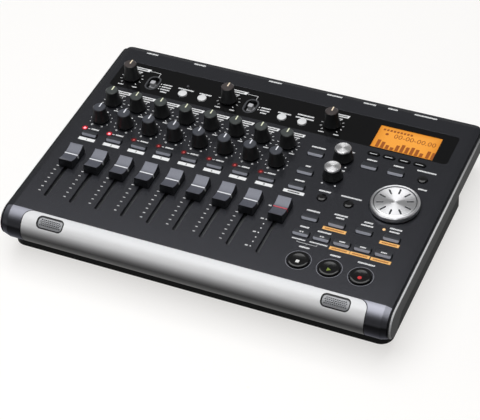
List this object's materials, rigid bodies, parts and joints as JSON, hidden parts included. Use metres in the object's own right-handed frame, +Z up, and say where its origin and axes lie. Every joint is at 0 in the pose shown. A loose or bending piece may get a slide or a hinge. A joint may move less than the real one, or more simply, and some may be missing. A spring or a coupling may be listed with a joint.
{
  "type": "digital multitrack recorder",
  "caption": "Flat desktop audio recorder with sliding faders, turning knobs, small keys, an amber display, a data wheel, transport keys, nose microphones and rear sockets.",
  "frame": {"origin": "on the table, under the middle of the whole unit", "axes": "+X to the right along the fader bank, +Y to the rear sockets, +Z up out of the control panel"},
  "size_m": [0.292, 0.209, 0.0525],
  "materials": {
    "case_black": "fine moulded grain, charcoal",
    "tray_black": "plain moulded black",
    "front_silver": "satin silver",
    "cheek_grey": "satin grey with a bright bevel",
    "rear_black": "plain moulded black",
    "gloss_black": "polished black",
    "display_amber": "backlit amber behind a clear window",
    "board_green": "coated board",
    "control_grey": "plain control bodies",
    "grille_steel": "perforated sheet",
    "capsule_metal": "plain metal can",
    "socket_black": "moulded black",
    "socket_brass": "plated",
    "lamp_red": "clear tinted lens",
    "foot_rubber": "matt rubber",
    "screw_steel": "plated",
    "knob_black": "smooth satin black with a pointer line",
    "knob_silver": "silver top over a black skirt",
    "wheel_silver": "spun silver",
    "fader_grey": "satin grey cap with a pale line",
    "key_grey": "satin grey with a pale front edge",
    "key_dark": "satin black",
    "key_white": "satin white",
    "key_gloss": "polished black",
    "switch_black": "satin black"
  },
  "bodies": {
    "chassis": {"top_case": "case_black", "bottom_case": "tray_black", "front_panel": "front_silver", "side_cheeks": "cheek_grey", "rear_panel": "rear_black", "control_strip": "gloss_black", "display_module": "display_amber", "main_board": "board_green", "potentiometers": "control_grey", "mic_grilles": "grille_steel", "mic_capsules": "capsule_metal", "xlr_sockets": "socket_black", "jack_sockets": "socket_black", "line_out_sockets": "socket_brass", "indicator_leds": "lamp_red", "feet": "foot_rubber", "screws": "screw_steel"},
    "channel_fader_1": {"channel_fader_1": "fader_grey"},
    "channel_fader_2": {"channel_fader_2": "fader_grey"},
    "channel_fader_3": {"channel_fader_3": "fader_grey"},
    "channel_fader_4": {"channel_fader_4": "fader_grey"},
    "channel_fader_5": {"channel_fader_5": "fader_grey"},
    "channel_fader_6": {"channel_fader_6": "fader_grey"},
    "channel_fader_7": {"channel_fader_7": "fader_grey"},
    "channel_fader_8": {"channel_fader_8": "fader_grey"},
    "master_fader": {"master_fader": "fader_grey"},
    "effect_knob_1": {"effect_knob_1": "knob_black"},
    "effect_knob_2": {"effect_knob_2": "knob_black"},
    "effect_knob_3": {"effect_knob_3": "knob_black"},
    "effect_knob_4": {"effect_knob_4": "knob_black"},
    "effect_knob_5": {"effect_knob_5": "knob_black"},
    "effect_knob_6": {"effect_knob_6": "knob_black"},
    "effect_knob_7": {"effect_knob_7": "knob_black"},
    "effect_knob_8": {"effect_knob_8": "knob_black"},
    "pan_knob_1": {"pan_knob_1": "knob_black"},
    "pan_knob_2": {"pan_knob_2": "knob_black"},
    "pan_knob_3": {"pan_knob_3": "knob_black"},
    "pan_knob_4": {"pan_knob_4": "knob_black"},
    "pan_knob_5": {"pan_knob_5": "knob_black"},
    "pan_knob_6": {"pan_knob_6": "knob_black"},
    "pan_knob_7": {"pan_knob_7": "knob_black"},
    "pan_knob_8": {"pan_knob_8": "knob_black"},
    "input_knob_a": {"input_knob_a": "knob_black"},
    "input_knob_b": {"input_knob_b": "knob_black"},
    "phones_knob": {"phones_knob": "knob_black"},
    "eq_high_knob": {"eq_high_knob": "knob_silver"},
    "eq_low_knob": {"eq_low_knob": "knob_silver"},
    "data_wheel": {"data_wheel": "wheel_silver"},
    "stop_key": {"stop_key": "key_gloss"},
    "play_key": {"play_key": "key_gloss"},
    "record_key": {"record_key": "key_gloss"},
    "input_switch_a": {"input_switch_a": "key_white"},
    "input_switch_b": {"input_switch_b": "key_white"},
    "power_switch": {"power_switch": "switch_black"},
    "arm_keys": {"arm_keys": "key_grey"},
    "panel_keys": {"panel_keys": "key_grey"},
    "search_keys": {"search_keys": "key_grey"},
    "function_keys": {"function_keys": "key_dark"},
    "round_keys": {"round_keys": "key_dark"},
    "source_keys": {"source_keys": "key_white"}
  },
  "joints": [
    {"name": "channel_fader_1_slide", "type": "slide", "parent": "chassis", "child": "channel_fader_1", "axis": [0, 1, 0], "range_m": [-0.037, 0.008]},
    {"name": "channel_fader_2_slide", "type": "slide", "parent": "chassis", "child": "channel_fader_2", "axis": [0, 1, 0], "range_m": [-0.037, 0.008]},
    {"name": "channel_fader_3_slide", "type": "slide", "parent": "chassis", "child": "channel_fader_3", "axis": [0, 1, 0], "range_m": [-0.037, 0.008]},
    {"name": "channel_fader_4_slide", "type": "slide", "parent": "chassis", "child": "channel_fader_4", "axis": [0, 1, 0], "range_m": [-0.037, 0.008]},
    {"name": "channel_fader_5_slide", "type": "slide", "parent": "chassis", "child": "channel_fader_5", "axis": [0, 1, 0], "range_m": [-0.037, 0.008]},
    {"name": "channel_fader_6_slide", "type": "slide", "parent": "chassis", "child": "channel_fader_6", "axis": [0, 1, 0], "range_m": [-0.037, 0.008]},
    {"name": "channel_fader_7_slide", "type": "slide", "parent": "chassis", "child": "channel_fader_7", "axis": [0, 1, 0], "range_m": [-0.037, 0.008]},
    {"name": "channel_fader_8_slide", "type": "slide", "parent": "chassis", "child": "channel_fader_8", "axis": [0, 1, 0], "range_m": [-0.037, 0.008]},
    {"name": "master_fader_slide", "type": "slide", "parent": "chassis", "child": "master_fader", "axis": [0, 1, 0], "range_m": [-0.037, 0.008]},
    {"name": "effect_knob_1_turn", "type": "hinge", "parent": "chassis", "child": "effect_knob_1", "pos_m": [-0.1224, 0.0325, 0.0385], "axis": [0, 0, 1], "range_deg": [-135, 135]},
    {"name": "effect_knob_2_turn", "type": "hinge", "parent": "chassis", "child": "effect_knob_2", "pos_m": [-0.10225, 0.0325, 0.0385], "axis": [0, 0, 1], "range_deg": [-135, 135]},
    {"name": "effect_knob_3_turn", "type": "hinge", "parent": "chassis", "child": "effect_knob_3", "pos_m": [-0.0821, 0.0325, 0.0385], "axis": [0, 0, 1], "range_deg": [-135, 135]},
    {"name": "effect_knob_4_turn", "type": "hinge", "parent": "chassis", "child": "effect_knob_4", "pos_m": [-0.06195, 0.0325, 0.0385], "axis": [0, 0, 1], "range_deg": [-135, 135]},
    {"name": "effect_knob_5_turn", "type": "hinge", "parent": "chassis", "child": "effect_knob_5", "pos_m": [-0.0418, 0.0325, 0.0385], "axis": [0, 0, 1], "range_deg": [-135, 135]},
    {"name": "effect_knob_6_turn", "type": "hinge", "parent": "chassis", "child": "effect_knob_6", "pos_m": [-0.02165, 0.0325, 0.0385], "axis": [0, 0, 1], "range_deg": [-135, 135]},
    {"name": "effect_knob_7_turn", "type": "hinge", "parent": "chassis", "child": "effect_knob_7", "pos_m": [-0.0015, 0.0325, 0.0385], "axis": [0, 0, 1], "range_deg": [-135, 135]},
    {"name": "effect_knob_8_turn", "type": "hinge", "parent": "chassis", "child": "effect_knob_8", "pos_m": [0.01865, 0.0325, 0.0385], "axis": [0, 0, 1], "range_deg": [-135, 135]},
    {"name": "pan_knob_1_turn", "type": "hinge", "parent": "chassis", "child": "pan_knob_1", "pos_m": [-0.1224, 0.012, 0.0385], "axis": [0, 0, 1], "range_deg": [-150, 150]},
    {"name": "pan_knob_2_turn", "type": "hinge", "parent": "chassis", "child": "pan_knob_2", "pos_m": [-0.10225, 0.012, 0.0385], "axis": [0, 0, 1], "range_deg": [-150, 150]},
    {"name": "pan_knob_3_turn", "type": "hinge", "parent": "chassis", "child": "pan_knob_3", "pos_m": [-0.0821, 0.012, 0.0385], "axis": [0, 0, 1], "range_deg": [-150, 150]},
    {"name": "pan_knob_4_turn", "type": "hinge", "parent": "chassis", "child": "pan_knob_4", "pos_m": [-0.06195, 0.012, 0.0385], "axis": [0, 0, 1], "range_deg": [-150, 150]},
    {"name": "pan_knob_5_turn", "type": "hinge", "parent": "chassis", "child": "pan_knob_5", "pos_m": [-0.0418, 0.012, 0.0385], "axis": [0, 0, 1], "range_deg": [-150, 150]},
    {"name": "pan_knob_6_turn", "type": "hinge", "parent": "chassis", "child": "pan_knob_6", "pos_m": [-0.02165, 0.012, 0.0385], "axis": [0, 0, 1], "range_deg": [-150, 150]},
    {"name": "pan_knob_7_turn", "type": "hinge", "parent": "chassis", "child": "pan_knob_7", "pos_m": [-0.0015, 0.012, 0.0385], "axis": [0, 0, 1], "range_deg": [-150, 150]},
    {"name": "pan_knob_8_turn", "type": "hinge", "parent": "chassis", "child": "pan_knob_8", "pos_m": [0.01865, 0.012, 0.0385], "axis": [0, 0, 1], "range_deg": [-150, 150]},
    {"name": "input_knob_a_turn", "type": "hinge", "parent": "chassis", "child": "input_knob_a", "pos_m": [-0.1224, 0.0635, 0.0385], "axis": [0, 0, 1], "range_deg": [-135, 135]},
    {"name": "input_knob_b_turn", "type": "hinge", "parent": "chassis", "child": "input_knob_b", "pos_m": [-0.0418, 0.0635, 0.0385], "axis": [0, 0, 1], "range_deg": [-135, 135]},
    {"name": "phones_knob_turn", "type": "hinge", "parent": "chassis", "child": "phones_knob", "pos_m": [0.0408, 0.0635, 0.0385], "axis": [0, 0, 1], "range_deg": [-135, 135]},
    {"name": "eq_high_knob_turn", "type": "hinge", "parent": "chassis", "child": "eq_high_knob", "pos_m": [0.0615, 0.0325, 0.0385], "axis": [0, 0, 1], "range_deg": [-150, 150]},
    {"name": "eq_low_knob_turn", "type": "hinge", "parent": "chassis", "child": "eq_low_knob", "pos_m": [0.0615, 0.012, 0.0385], "axis": [0, 0, 1], "range_deg": [-150, 150]},
    {"name": "data_wheel_turn", "type": "hinge", "parent": "chassis", "child": "data_wheel", "pos_m": [0.1128, -0.0013, 0.0385], "axis": [0, 0, 1], "continuous": true},
    {"name": "stop_key_press", "type": "slide", "parent": "chassis", "child": "stop_key", "axis": [0, 0, -1], "range_m": [0, 0.0007], "stiffness_N_per_m": 1500},
    {"name": "play_key_press", "type": "slide", "parent": "chassis", "child": "play_key", "axis": [0, 0, -1], "range_m": [0, 0.0007], "stiffness_N_per_m": 1500},
    {"name": "record_key_press", "type": "slide", "parent": "chassis", "child": "record_key", "axis": [0, 0, -1], "range_m": [0, 0.0007], "stiffness_N_per_m": 1500},
    {"name": "input_switch_a_slide", "type": "slide", "parent": "chassis", "child": "input_switch_a", "axis": [0, 1, 0], "range_m": [-0.0024, 0.0024]},
    {"name": "input_switch_b_slide", "type": "slide", "parent": "chassis", "child": "input_switch_b", "axis": [0, 1, 0], "range_m": [-0.0024, 0.0024]},
    {"name": "power_switch_slide", "type": "slide", "parent": "chassis", "child": "power_switch", "axis": [1, 0, 0], "range_m": [0, 0.004]},
    {"name": "arm_keys_press", "type": "slide", "parent": "chassis", "child": "arm_keys", "axis": [0, 0, -1], "range_m": [0, 0.0007], "stiffness_N_per_m": 1500},
    {"name": "panel_keys_press", "type": "slide", "parent": "chassis", "child": "panel_keys", "axis": [0, 0, -1], "range_m": [0, 0.0007], "stiffness_N_per_m": 1500},
    {"name": "search_keys_press", "type": "slide", "parent": "chassis", "child": "search_keys", "axis": [0, 0, -1], "range_m": [0, 0.0007], "stiffness_N_per_m": 1500},
    {"name": "function_keys_press", "type": "slide", "parent": "chassis", "child": "function_keys", "axis": [0, 0, -1], "range_m": [0, 0.0007], "stiffness_N_per_m": 1500},
    {"name": "round_keys_press", "type": "slide", "parent": "chassis", "child": "round_keys", "axis": [0, 0, -1], "range_m": [0, 0.0007], "stiffness_N_per_m": 1500},
    {"name": "source_keys_press", "type": "slide", "parent": "chassis", "child": "source_keys", "axis": [0, 0, -1], "range_m": [0, 0.0007], "stiffness_N_per_m": 1500}
  ]
}
